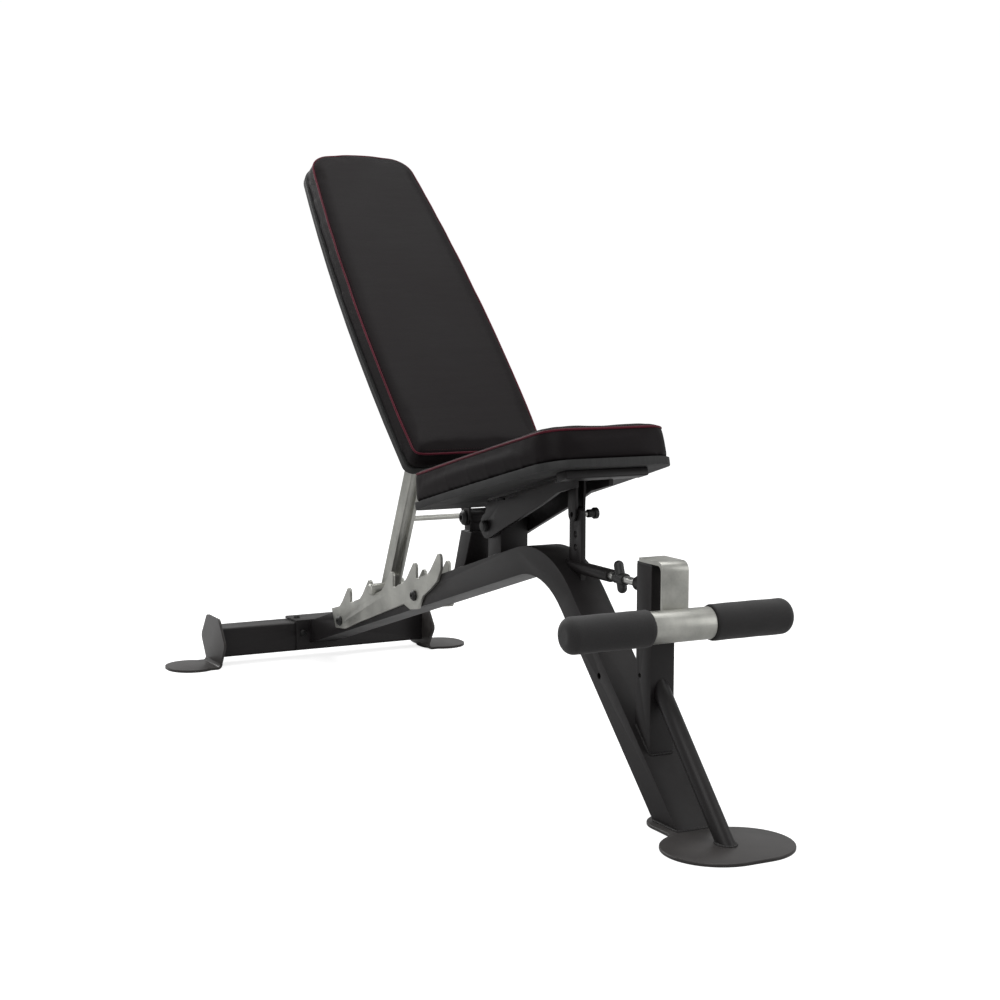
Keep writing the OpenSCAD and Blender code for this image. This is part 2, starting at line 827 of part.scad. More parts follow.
// two lugs that hang on either side of the strap, tied to the brackets
module seat_clevis() {
    lug_r = 11;
    tie_t = 4;
    tie_w = 30;
    color("#333232") datum() difference() {
        both_sides() {
            side_at(lug_x, lug_t) difference() {
                union() {
                    translate(seat_pin_at) circle(lug_r);
                    polygon([seat_pin_at + [-lug_r, 0], seat_pin_at + [lug_r, 0],
                        [seat_pin_at[0] + 16, 520], [seat_pin_at[0] - 16, 520]]);
                }
                seat_plane() translate([-big / 2, seat_under]) square([big, big]);
            }
            side_at(lug_x + lug_t, bracket_x - lug_x - lug_t) intersection() {
                seat_plane() translate([-big / 2, seat_under - tie_t]) square([big, tie_t]);
                translate([seat_pin_at[0] - tie_w / 2, 400]) square([tie_w, 200]);
            }
        }
        cross_rod(seat_pin_at, seat_pin_r + run_gap, -beam_w, beam_w);
    }
}

module seat_pivot_bolt() {
    outer = bracket_x + bracket_t;
    color("#161616") datum() {
        cross_rod(seat_pivot, seat_pivot_r, -outer, outer);
        both_sides() {
            cross_rod(seat_pivot, 9.5, outer + slip_gap, outer + 7);
            cross_rod(seat_pivot, 8, outer + 7, outer + 9);
            cross_rod(seat_pivot, seat_pivot_r, outer - 1, outer + 1);
        }
    }
}

function seat_width(u) = seat_half + (seat_front_half - seat_half) * pow(u, 1.6);

function seat_side(inset) = concat(
    [[0, inset]],
    [for (a = [90 : -10 : 0]) let (t = seat_round_rear - (seat_round_rear - inset) * sin(a))
        [seat_width(t / seat_l) - inset - (seat_round_rear - inset) * (1 - cos(a)), t]],
    [for (u = [0.1 : 0.1 : 0.8]) [seat_width(u) - inset, u * seat_l]],
    [for (a = [0 : 10 : 90]) let (t = seat_l - seat_round + (seat_round - inset) * sin(a))
        [seat_width(t / seat_l) - inset - (seat_round - inset) * (1 - cos(a)), t]],
    [[0, seat_l - inset]]);

module seat_outline(inset) {
    mirror([0, 1]) polygon(mirrored(seat_side(inset)));
}

module seat_board() {
    slot_l = strap_w + 20;
    slot_mid = strap_mid - tipped(seat_rear, seat_travel)[0];
    color("#141414") datum() on_seat() difference() {
        translate([0, 0, seat_under]) linear_extrude(board_t) seat_outline(0);
        translate([-strap_t / 2 - 3, slot_mid - slot_l / 2, seat_under - 1])
            cube([strap_t + 6, slot_l, board_t - 1]);
        for (y = seat_screw_steps, s = sides)
            translate([s * (bracket_x + bracket_t + 13), y, seat_under - 10])
                cylinder(r = small_bolt_r, h = 19);
    }
}

module seat_pad() {
    color("#2a2727") datum() on_seat() translate([0, 0, -seat_foam])
        linear_extrude(seat_foam) seat_outline(seat_lip);
}

module seat_screws() {
    head_h = 4;
    flange_t = 4;
    color("#1d1d1d") datum() on_seat() for (y = seat_screw_steps, s = sides)
        translate([s * (bracket_x + bracket_t + 13), y, seat_under - flange_t - head_h]) {
            cylinder(r = 7, h = head_h);
            cylinder(r = small_bolt_r - run_gap, h = head_h + flange_t + 8);
        }
}

module seat_pin() {
    color("#a9a8a2") datum() cross_rod(seat_pin_at, seat_pin_r, seat_pin_tip, 30);
}

module seat_pin_knob() {
    from = lug_x + lug_t + seat_pin_travel + 0.5;
    color("#161616") datum() difference() {
        union() {
            cross_rod(seat_pin_at, 6.5, from, from + 16);
            cross_rod(seat_pin_at, 9, from + 11, from + 18);
        }
        cross_rod(seat_pin_at, seat_pin_r, 0, 30);
    }
}

// ---------- leg roller ----------

module roller_hook() {
    bend = 14;
    back_edge = post_back - 8;
    color("#a09f98") datum() difference() {
        side(hook_w) difference() {
            union() {
                translate([hook_front + bend, hook_z]) square([back_edge - hook_front - bend, hook_t]);
                translate([hook_front, roller_z]) square([hook_t, hook_z + hook_t - bend - roller_z]);
                intersection() {
                    translate([hook_front + bend, hook_z + hook_t - bend]) difference() {
                        circle(bend);
                        circle(bend - hook_t);
                    }
                    translate([hook_front, hook_z + hook_t - bend]) square([bend, bend]);
                }
            }
            translate([roller_y, roller_z]) circle(roller_tube_d / 2);
        }
    }
}

// square stem with the row of height holes, welded under the hook
module roller_stem() {
    color("#8f8e88") datum() difference() {
        translate([-stem_s / 2, -post_y - stem_s / 2, hook_z - stem_l]) cube([stem_s, stem_s, stem_l]);
        translate([-stem_s / 2 + stem_wall, -post_y - stem_s / 2 + stem_wall, hook_z - stem_l - 1])
            cube([stem_s - 2 * stem_wall, stem_s - 2 * stem_wall, stem_l - 4]);
        for (i = [0 : stem_holes - 1]) translate([0, -post_y, post_pin_z - i * hole_pitch])
            rotate([-90, 0, 0]) cylinder(d = hole_d, h = stem_s);
    }
}

module roller_tube() {
    color("#a09f98") datum() difference() {
        cross_rod([roller_y, roller_z], roller_tube_d / 2, -roller_bare, roller_bare);
        cross_rod([roller_y, roller_z], axle_d / 2, -roller_bare - 1, roller_bare + 1);
    }
}

module roller_axle() {
    color("#8f8e88") datum() difference() {
        cross_rod([roller_y, roller_z], axle_d / 2, -axle_half, axle_half);
        cross_rod([roller_y, roller_z], axle_d / 2 - 3, -axle_half - 1, axle_half + 1);
    }
}

module roller_core() {
    difference() {
        cross_rod([roller_y, roller_z], core_r + core_wall, foam_start, axle_half + 3);
        cross_rod([roller_y, roller_z], core_r, foam_start - 1, axle_half + slip_gap);
    }
}

module roller_foam() {
    translate([0, roller_y, roller_z]) rotate([0, 90, 0]) rotate_extrude($fn = 96) difference() {
        union() {
            translate([0, foam_start]) square([roller_d / 2, roller_reach - foam_start - foam_round]);
            translate([0, foam_start]) square([roller_d / 2 - foam_round, roller_reach - foam_start]);
            intersection() {
                translate([roller_d / 2 - foam_round, roller_reach - foam_round]) circle(foam_round);
                translate([0, roller_reach - foam_round]) square([roller_d, foam_round]);
            }
        }
        translate([-1, foam_start - 1]) square([core_r + core_wall + 1, axle_half + 4 - foam_start]);
    }
}

module roller_core_right() {
    color("#1b1b1b") datum() roller_core();
}

module roller_core_left() {
    color("#1b1b1b") datum() mirror([1, 0, 0]) roller_core();
}

module roller_foam_right() {
    color("#1e1e1e") datum() roller_foam();
}

module roller_foam_left() {
    color("#1e1e1e") datum() mirror([1, 0, 0]) roller_foam();
}

module post_pin() {
    color("#a9a8a2") datum() translate([0, post_pin_tip, post_pin_z]) rotate([-90, 0, 0])
        cylinder(r = pin_r, h = pin_tail - post_pin_tip);
}

// T-bar that is gripped to pull the pin
module post_pin_handle() {
    color("#141414") datum() difference() {
        union() {
            translate([0, handle_y, post_pin_z + 2]) rotate([-handle_lean, 0, 0]) {
                cylinder(r = handle_r, h = handle_l - 2 * handle_r, center = true);
                for (s = sides) translate([0, 0, s * (handle_l / 2 - handle_r)]) sphere(handle_r);
            }
            translate([0, handle_y - 16, post_pin_z]) rotate([-90, 0, 0]) cylinder(r = pin_r + 3, h = 28);
        }
        translate([0, handle_y - 40, post_pin_z]) rotate([-90, 0, 0]) cylinder(r = pin_r, h = 80);
    }
}

main_beam();
rear_saddle();
saddle_bolts();
rear_stabiliser();
rear_foot_left();
rear_foot_right();
front_foot_plate();
front_brace_rod();
roller_post();
post_bushing();
post_pin_housing();
post_pin_guide();
rear_upright();
front_upright();
seat_strap();
ladder_plate_left();
ladder_plate_right();
ladder_bolts();
back_channel();
back_crossbars();
back_hinge_pin();
back_board();
back_pad();
back_screws();
strut_pivot_pin();
strut_spacers();
support_strut();
strut_crossbar();
strut_handle();
seat_bracket_left();
seat_bracket_right();
seat_front_rail();
seat_clevis();
seat_pivot_bolt();
seat_board();
seat_pad();
seat_screws();
seat_pin();
seat_pin_knob();
roller_hook();
roller_stem();
roller_tube();
roller_axle();
roller_core_left();
roller_core_right();
roller_foam_left();
roller_foam_right();
post_pin();
post_pin_handle();
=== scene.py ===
import json
import math
import bmesh
import bpy
import numpy as np
from mathutils import Matrix, Vector
from mathutils.bvhtree import BVHTree


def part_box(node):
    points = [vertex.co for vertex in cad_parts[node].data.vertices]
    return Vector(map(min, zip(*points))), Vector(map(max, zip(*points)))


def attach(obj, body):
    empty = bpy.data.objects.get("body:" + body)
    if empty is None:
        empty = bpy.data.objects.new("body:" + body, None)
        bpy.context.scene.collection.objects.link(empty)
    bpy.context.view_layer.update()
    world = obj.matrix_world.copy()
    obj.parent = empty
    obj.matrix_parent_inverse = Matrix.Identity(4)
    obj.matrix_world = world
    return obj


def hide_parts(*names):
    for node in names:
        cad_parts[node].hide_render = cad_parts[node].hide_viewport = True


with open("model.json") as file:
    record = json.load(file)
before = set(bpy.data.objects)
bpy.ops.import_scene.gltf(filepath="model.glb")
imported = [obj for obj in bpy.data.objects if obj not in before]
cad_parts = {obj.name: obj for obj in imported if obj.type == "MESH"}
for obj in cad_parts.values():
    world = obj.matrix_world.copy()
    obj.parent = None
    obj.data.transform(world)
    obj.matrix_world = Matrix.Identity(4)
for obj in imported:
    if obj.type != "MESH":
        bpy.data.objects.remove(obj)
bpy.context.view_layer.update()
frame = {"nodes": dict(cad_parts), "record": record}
nodes = frame["nodes"]
record = frame["record"]
slotOf = {part["node"]: part["material_slot"] for part in record["subparts"]}
bodyOf = {node: body for body, names in record["behaviour"]["bodies"].items() for node in names}


# ---- camera, lights and floor ----

cameraView = {"bearing": -27.25, "height": 6.34, "distance": 3.0404, "lens": 65.2, "roll": 0.1,
              "aim": (0.0, -0.0703, 0.4122)}


def placeCamera():
    bearing = math.radians(cameraView["bearing"])
    height = math.radians(cameraView["height"])
    level = math.cos(height)
    back = Vector((math.sin(bearing) * level, -math.cos(bearing) * level, math.sin(height)))
    data = bpy.data.cameras.new("benchCamera")
    data.lens = cameraView["lens"]
    data.sensor_width = 36
    data.clip_end = 100
    camera = bpy.data.objects.new("benchCamera", data)
    camera.location = Vector(cameraView["aim"]) + back * cameraView["distance"]
    roll = Matrix.Rotation(math.radians(cameraView["roll"]), 3, "Z").to_quaternion()
    camera.rotation_mode = "QUATERNION"
    camera.rotation_quaternion = (-back).to_track_quat("-Z", "Y") @ roll
    bpy.context.collection.objects.link(camera)
    bpy.context.scene.camera = camera
    print("camera placed")


studio = {"floorSize": 60, "floorColour": (0.55, 0.55, 0.55), "paperGlow": 0.8, "skyStrength": 0.42,
          "backdrop": 1.02, "aimHeight": 0.45}
softBoxes = {
    "keyBox": {"at": (-2.6, -2.2, 2.9), "size": (2.6, 2.6), "power": 44},
    "fillBox": {"at": (2.8, -2.6, 1.6), "size": (2.0, 2.4), "power": 24},
    "rimBox": {"at": (-1.2, 3.2, 2.6), "size": (3.0, 1.6), "power": 70},
    "topBox": {"at": (0.6, 0.2, 3.6), "size": (2.6, 2.6), "power": 50},
}


def lightStudio():
    world = bpy.data.worlds.new("studioSky")
    world.use_nodes = True
    sky = world.node_tree.nodes["Background"]
    sky.inputs["Color"].default_value = (1, 1, 1, 1)
    seen = world.node_tree.nodes.new("ShaderNodeLightPath")
    level = world.node_tree.nodes.new("ShaderNodeMapRange")
    level.inputs["To Min"].default_value = studio["skyStrength"]
    level.inputs["To Max"].default_value = studio["backdrop"]
    world.node_tree.links.new(seen.outputs["Is Camera Ray"], level.inputs["Value"])
    world.node_tree.links.new(level.outputs["Result"], sky.inputs["Strength"])
    bpy.context.scene.world = world
    for name, box in softBoxes.items():
        lamp = bpy.data.lights.new(name, "AREA")
        lamp.shape = "RECTANGLE"
        lamp.size, lamp.size_y = box["size"]
        lamp.energy = box["power"]
        holder = bpy.data.objects.new(name, lamp)
        holder.location = box["at"]
        aim = Vector((0, 0, studio["aimHeight"])) - Vector(box["at"])
        holder.rotation_euler = aim.to_track_quat("-Z", "Y").to_euler()
        bpy.context.collection.objects.link(holder)
    half = studio["floorSize"] / 2
    corners = [(-half, -half, 0), (half, -half, 0), (half, half, 0), (-half, half, 0)]
    floor = meshObject("studioFloor", corners, [(0, 1, 2, 3)])
    paper = newMaterial("floorPaper")
    paper.set("Base Color", (*studio["floorColour"], 1))
    paper.set("Roughness", 0.9)
    paper.set("Emission Color", (1, 1, 1, 1))
    seen = paper.tree.nodes.new("ShaderNodeLightPath")
    glow = paper.span(seen.outputs["Is Camera Ray"], 0, studio["paperGlow"])
    paper.join(glow, paper.shader.inputs["Emission Strength"])
    grain = paper.add("ShaderNodeTexNoise", Scale=40.0)
    paper.bump(grain.outputs["Fac"], 0.02, 0.001)
    floor.data.materials.append(paper.material)
    bpy.context.scene.view_settings.view_transform = "Standard"
    print("studio lit")


def meshObject(name, points, faces):
    mesh = bpy.data.meshes.new(name)
    mesh.from_pydata([tuple(p) for p in points], [], faces)
    mesh.update()
    piece = bpy.data.objects.new(name, mesh)
    bpy.context.collection.objects.link(piece)
    return piece


# ---- finishes ----

class newMaterial:
    # a Principled material with short ways to add and join nodes
    def __init__(self, name):
        self.material = bpy.data.materials.new(name)
        self.material.use_nodes = True
        self.tree = self.material.node_tree
        self.shader = self.tree.nodes["Principled BSDF"]

    def set(self, socket, value):
        self.shader.inputs[socket].default_value = value

    def add(self, kind, **values):
        node = self.tree.nodes.new(kind)
        for key, value in values.items():
            node.inputs[key.replace("_", " ")].default_value = value
        if kind in ("ShaderNodeTexNoise", "ShaderNodeTexVoronoi", "ShaderNodeMapping", "ShaderNodeTexWave"):
            self.join(self.place(), node.inputs["Vector"])
        return node

    def place(self):
        if not hasattr(self, "coordinates"):
            self.coordinates = self.tree.nodes.new("ShaderNodeTexCoord")
        return self.coordinates.outputs["Object"]

    def join(self, a, b):
        self.tree.links.new(a, b)

    def group(self, tree, **values):
        node = self.tree.nodes.new("ShaderNodeGroup")
        node.node_tree = tree
        for key, value in values.items():
            node.inputs[key.replace("_", " ")].default_value = value
        return node

    def ramp(self, source, stops):
        node = self.tree.nodes.new("ShaderNodeValToRGB")
        for element, (at, colour) in zip(node.color_ramp.elements, (stops[0], stops[-1])):
            element.position = at
            element.color = (*colour, 1)
        for at, colour in stops[1:-1]:
            node.color_ramp.elements.new(at).color = (*colour, 1)
        self.join(source, node.inputs["Fac"])
        return node.outputs["Color"]

    def blend(self, share, a, b):
        node = self.tree.nodes.new("ShaderNodeMix")
        node.data_type = "RGBA"
        self.feed(share, node.inputs["Factor"])
        self.feed(a, node.inputs["A"] if node.inputs["A"].type == "RGBA" else node.inputs[6])
        self.feed(b, node.inputs["B"] if node.inputs["B"].type == "RGBA" else node.inputs[7])
        return node.outputs[2]

    def feed(self, value, socket):
        if isinstance(value, bpy.types.NodeSocket):
            self.join(value, socket)
        elif isinstance(value, tuple):
            socket.default_value = (*value, 1)
        else:
            socket.default_value = value

    def span(self, source, low, high):
        node = self.tree.nodes.new("ShaderNodeMapRange")
        self.join(source, node.inputs["Value"])
        node.inputs["To Min"].default_value = low
        node.inputs["To Max"].default_value = high
        return node.outputs["Result"]

    def bump(self, height, strength, distance, onto=None):
        node = self.tree.nodes.new("ShaderNodeBump")
        node.inputs["Strength"].default_value = strength
        node.inputs["Distance"].default_value = distance
        self.join(height, node.inputs["Height"])
        if onto is not None:
            self.join(onto, node.inputs["Normal"])
        self.join(node.outputs["Normal"], self.shader.inputs["Normal"])
        return node.outputs["Normal"]


def groupTree(name, inputs, outputs):
    tree = bpy.data.node_groups.new(name, "ShaderNodeTree")
    for label, value in inputs.items():
        tree.interface.new_socket(label, in_out="INPUT", socket_type="NodeSocketFloat").default_value = value
    for label in outputs:
        tree.interface.new_socket(label, in_out="OUTPUT", socket_type="NodeSocketFloat")
    return tree, tree.nodes.new("NodeGroupInput"), tree.nodes.new("NodeGroupOutput")


def mathNode(tree, kind, a, b):
    node = tree.nodes.new("ShaderNodeMath")
    node.operation = kind
    for value, socket in ((a, node.inputs[0]), (b, node.inputs[1])):
        if isinstance(value, bpy.types.NodeSocket):
            tree.links.new(value, socket)
        else:
            socket.default_value = value
    return node.outputs[0]


def makeEdgeWear():
    # rubbed corners: convex edges broken up by noise
    tree, given, result = groupTree("edgeWear", {"Amount": 0.5, "Scale": 60.0}, ["Mask"])
    shape = tree.nodes.new("ShaderNodeNewGeometry")
    edge = tree.nodes.new("ShaderNodeMapRange")
    edge.inputs["From Min"].default_value = 0.53
    edge.inputs["From Max"].default_value = 0.62
    tree.links.new(shape.outputs["Pointiness"], edge.inputs["Value"])
    place = tree.nodes.new("ShaderNodeTexCoord")
    noise = tree.nodes.new("ShaderNodeTexNoise")
    noise.inputs["Detail"].default_value = 4
    tree.links.new(place.outputs["Object"], noise.inputs["Vector"])
    tree.links.new(given.outputs["Scale"], noise.inputs["Scale"])
    patch = tree.nodes.new("ShaderNodeMapRange")
    patch.inputs["From Min"].default_value = 0.42
    patch.inputs["From Max"].default_value = 0.62
    tree.links.new(noise.outputs["Fac"], patch.inputs["Value"])
    rubbed = mathNode(tree, "MULTIPLY", edge.outputs["Result"], patch.outputs["Result"])
    tree.links.new(mathNode(tree, "MULTIPLY", rubbed, given.outputs["Amount"]), result.inputs["Mask"])
    return tree


def makeFineGrain():
    # two sizes of noise: a fine tooth and a slow drift over the piece
    tree, given, result = groupTree("fineGrain", {"Tooth": 900.0, "Drift": 7.0}, ["Height", "Cloud"])
    place = tree.nodes.new("ShaderNodeTexCoord")
    for label, detail, socket in (("Tooth", 3, "Height"), ("Drift", 5, "Cloud")):
        noise = tree.nodes.new("ShaderNodeTexNoise")
        noise.inputs["Detail"].default_value = detail
        tree.links.new(place.outputs["Object"], noise.inputs["Vector"])
        tree.links.new(given.outputs[label], noise.inputs["Scale"])
        tree.links.new(noise.outputs["Fac"], result.inputs[socket])
    return tree


def makeSettledDust():
    # a pale film where the surface looks up
    tree, given, result = groupTree("settledDust", {"Amount": 0.1}, ["Mask"])
    shape = tree.nodes.new("ShaderNodeNewGeometry")
    split = tree.nodes.new("ShaderNodeSeparateXYZ")
    tree.links.new(shape.outputs["Normal"], split.inputs[0])
    up = mathNode(tree, "MAXIMUM", split.outputs["Z"], 0.0)
    place = tree.nodes.new("ShaderNodeTexCoord")
    noise = tree.nodes.new("ShaderNodeTexNoise")
    noise.inputs["Scale"].default_value = 30
    noise.inputs["Detail"].default_value = 6
    tree.links.new(place.outputs["Object"], noise.inputs["Vector"])
    film = mathNode(tree, "MULTIPLY", mathNode(tree, "POWER", up, 3.0), noise.outputs["Fac"])
    tree.links.new(mathNode(tree, "MULTIPLY", film, given.outputs["Amount"]), result.inputs["Mask"])
    return tree


edgeWear = makeEdgeWear()
fineGrain = makeFineGrain()
settledDust = makeSettledDust()


def coatedSteel(name, colour, worn, rough, tooth=1100.0, wear=0.1, peel=0.18):
    # powder coat: orange-peel skin, faint cloudiness, rubbed corners, a breath of dust
    paint = newMaterial(name)
    grain = paint.group(fineGrain, Tooth=tooth, Drift=9.0)
    rub = paint.group(edgeWear, Amount=wear, Scale=70.0)
    dust = paint.group(settledDust, Amount=0.1)
    deep = tuple(c * 0.86 for c in colour)
    lift = tuple(c * 1.16 for c in colour)
    body = paint.ramp(grain.outputs["Cloud"], [(0.3, deep), (0.5, colour), (0.72, lift)])
    body = paint.blend(rub.outputs["Mask"], body, worn)
    body = paint.blend(dust.outputs["Mask"], body, dustGrey)
    paint.join(body, paint.shader.inputs["Base Color"])
    gloss = paint.span(grain.outputs["Cloud"], rough - 0.07, rough + 0.08)
    paint.join(gloss, paint.shader.inputs["Roughness"])
    paint.set("Specular IOR Level", 0.3)
    paint.set("Coat Roughness", 0.35)
    paint.set("Coat Weight", 0.06)
    paint.bump(grain.outputs["Height"], peel, 0.0004)
    return paint.material


def zincPlate(name, colour, rough=0.42):
    # bright zinc: hazy spangle, drawn streaks and finger smudges
    zinc = newMaterial(name)
    grain = zinc.group(fineGrain, Tooth=420.0, Drift=22.0)
    spangle = zinc.add("ShaderNodeTexVoronoi", Scale=260.0)
    turn = zinc.tree.nodes.new("ShaderNodeMapping")
    turn.inputs["Scale"].default_value = (1.0, 0.12, 1.0)
    zinc.join(zinc.place(), turn.inputs["Vector"])
    streak = zinc.tree.nodes.new("ShaderNodeTexNoise")
    streak.inputs["Scale"].default_value = 190
    streak.inputs["Detail"].default_value = 5
    zinc.join(turn.outputs["Vector"], streak.inputs["Vector"])
    dull = tuple(c * 0.72 for c in colour)
    pale = tuple(min(1, c * 1.22) for c in colour)
    body = zinc.ramp(grain.outputs["Cloud"], [(0.28, dull), (0.5, colour), (0.7, pale)])
    body = zinc.blend(zinc.span(spangle.outputs["Distance"], 0.0, 0.22), body, pale)
    body = zinc.blend(zinc.span(streak.outputs["Fac"], -0.1, 0.3), body, dull)
    zinc.join(body, zinc.shader.inputs["Base Color"])
    zinc.set("Metallic", 0.86)
    zinc.join(zinc.span(grain.outputs["Cloud"], rough - 0.12, rough + 0.14), zinc.shader.inputs["Roughness"])
    zinc.bump(streak.outputs["Fac"], 0.08, 0.0003)
    return zinc.material


def padVinyl(name, colour, glow, rough=0.5):
    # grained vinyl: pebble cells with fine pores, rubbed sheen, soft stretch creases
    skin = newMaterial(name)
    grain = skin.group(fineGrain, Tooth=1500.0, Drift=6.0)
    pebble = skin.add("ShaderNodeTexVoronoi", Scale=720.0)
    pebble.feature = "SMOOTH_F1"
    warp = skin.tree.nodes.new("ShaderNodeMapping")
    warp.inputs["Scale"].default_value = (0.25, 0.25, 1.6)
    skin.join(skin.place(), warp.inputs["Vector"])
    crease = skin.tree.nodes.new("ShaderNodeTexNoise")
    crease.inputs["Scale"].default_value = 42
    crease.inputs["Detail"].default_value = 3
    skin.join(warp.outputs["Vector"], crease.inputs["Vector"])
    deep = tuple(c * 0.78 for c in colour)
    lift = tuple(c * 1.3 for c in colour)
    body = skin.ramp(grain.outputs["Cloud"], [(0.3, deep), (0.52, colour), (0.75, lift)])
    body = skin.blend(skin.span(pebble.outputs["Distance"], 0.0, 0.35), body, deep)
    skin.join(body, skin.shader.inputs["Base Color"])
    skin.join(skin.span(grain.outputs["Cloud"], rough - 0.08, rough + 0.1), skin.shader.inputs["Roughness"])
    skin.set("Sheen Weight", glow)
    skin.set("Sheen Roughness", 0.45)
    skin.set("Sheen Tint", (0.9, 0.86, 0.84, 1))
    skin.set("Specular IOR Level", 0.12)
    cells = skin.bump(pebble.outputs["Distance"], 0.22, 0.0005)
    skin.bump(crease.outputs["Fac"], 0.12, 0.004, onto=cells)
    return skin.material


def closedFoam(name, colour, rough=0.72):
    # skinned foam rubber: matte, pitted, a little chalky
    foam = newMaterial(name)
    grain = foam.group(fineGrain, Tooth=650.0, Drift=14.0)
    dust = foam.group(settledDust, Amount=0.16)
    pores = foam.add("ShaderNodeTexVoronoi", Scale=900.0)
    lift = tuple(c * 1.5 for c in colour)
    body = foam.ramp(grain.outputs["Cloud"], [(0.3, colour), (0.75, lift)])
    body = foam.blend(dust.outputs["Mask"], body, (0.2, 0.2, 0.2))
    foam.join(body, foam.shader.inputs["Base Color"])
    gloss = foam.span(pores.outputs["Distance"], rough - 0.1, rough + 0.12)
    foam.join(gloss, foam.shader.inputs["Roughness"])
    foam.set("Sheen Weight", 0.12)
    foam.bump(grain.outputs["Height"], 0.3, 0.0006)
    return foam.material


def mouldedPlastic(name, colour, rough=0.42):
    plastic = newMaterial(name)
    grain = plastic.group(fineGrain, Tooth=1300.0, Drift=16.0)
    rub = plastic.group(edgeWear, Amount=0.25, Scale=90.0)
    pale = tuple(min(1, c * 1.8 + 0.01) for c in colour)
    lift = tuple(c * 1.25 for c in colour)
    body = plastic.ramp(grain.outputs["Cloud"], [(0.3, colour), (0.8, lift)])
    body = plastic.blend(rub.outputs["Mask"], body, pale)
    plastic.join(body, plastic.shader.inputs["Base Color"])
    gloss = plastic.span(grain.outputs["Cloud"], rough - 0.06, rough + 0.1)
    plastic.join(gloss, plastic.shader.inputs["Roughness"])
    plastic.bump(grain.outputs["Height"], 0.12, 0.0003)
    return plastic.material


def paintedPly(name, colour):
    # pad board: black-painted ply, faint grain running along the pad
    ply = newMaterial(name)
    grain = ply.group(fineGrain, Tooth=500.0, Drift=10.0)
    along = ply.tree.nodes.new("ShaderNodeMapping")
    along.inputs["Scale"].default_value = (9.0, 1.0, 1.0)
    ply.join(ply.place(), along.inputs["Vector"])
    fibre = ply.tree.nodes.new("ShaderNodeTexNoise")
    fibre.inputs["Scale"].default_value = 28
    fibre.inputs["Detail"].default_value = 6
    ply.join(along.outputs["Vector"], fibre.inputs["Vector"])
    deep = tuple(c * 0.8 for c in colour)
    lift = tuple(c * 1.5 for c in colour)
    body = ply.ramp(fibre.outputs["Fac"], [(0.3, deep), (0.7, lift)])
    ply.join(body, ply.shader.inputs["Base Color"])
    ply.join(ply.span(grain.outputs["Cloud"], 0.5, 0.72), ply.shader.inputs["Roughness"])
    ply.bump(fibre.outputs["Fac"], 0.15, 0.0006)
    return ply.material


dustGrey = (0.32, 0.31, 0.30)
wornCoat = (0.10, 0.098, 0.096)
wornPlate = (0.2, 0.19, 0.18)
wornOxide = (0.12, 0.12, 0.12)
finishes = {
    "frame_powder_coat": coatedSteel("framePowderCoat", (0.0105, 0.0090, 0.0094), wornCoat, 0.42),
    "foot_plate_coat": coatedSteel("footPlateCoat", (0.032, 0.029, 0.028), wornPlate, 0.34, tooth=800.0),
    "black_fasteners": coatedSteel("blackOxide", (0.012, 0.012, 0.012), wornOxide, 0.36, wear=0.4),
    "zinc": zincPlate("hazyZinc", (0.48, 0.48, 0.446)),
    "pin_steel": zincPlate("pinSteel", (0.55, 0.55, 0.53), 0.3),
    "black_plastic": mouldedPlastic("blackPlastic", (0.014, 0.014, 0.014)),
    "nylon": mouldedPlastic("naturalNylon", (0.55, 0.54, 0.50), 0.5),
    "pad_board": paintedPly("paintedPly", (0.012, 0.012, 0.012)),
    "pad_vinyl": padVinyl("padVinyl", (0.0075, 0.0054, 0.0060), 0.004),
    "roller_foam": closedFoam("rollerFoam", (0.0066, 0.0058, 0.0060)),
}
pipingVinyl = padVinyl("burgundyPiping", (0.085, 0.008, 0.018), 0.06, rough=0.42)
stitchThread = padVinyl("stitchThread", (0.03, 0.005, 0.009), 0.1, rough=0.7)
weldSteel = coatedSteel("paintedWeld", (0.016, 0.0145, 0.0147), (0.10, 0.10, 0.10), 0.46,
                        tooth=500.0, peel=0.35)
print("finishes mixed")


# ---- steel, plastic and board pieces that keep their CAD shape ----

edgeRadius = {
    "main_beam": 4.0, "rear_stabiliser": 1.5, "roller_post": 3.0, "rear_upright": 3.0, "front_upright": 3.0,
    "rear_saddle": 1.6, "rear_foot_left": 1.2, "rear_foot_right": 1.2, "front_foot_plate": 1.4,
    "front_brace_rod": 0.8, "seat_strap": 1.2, "ladder_plate_left": 1.2, "ladder_plate_right": 1.2,
    "post_bushing": 1.2, "post_pin_housing": 1.0, "post_pin_guide": 1.0, "back_channel": 1.0,
    "back_crossbars": 1.0, "back_board": 2.4, "seat_board": 2.4, "support_strut": 3.0, "strut_crossbar": 0.8,
    "strut_handle": 0.5, "seat_bracket_left": 1.4, "seat_bracket_right": 1.4, "seat_front_rail": 2.0,
    "seat_clevis": 0.9, "seat_pivot_bolt": 1.2, "seat_pin_knob": 1.6, "roller_hook": 1.4, "roller_tube": 0.8,
    "post_pin_handle": 0.8, "ladder_bolts": 0.7, "back_hinge_pin": 0.7, "strut_pivot_pin": 0.7,
    "saddle_bolts": 0.6,
}


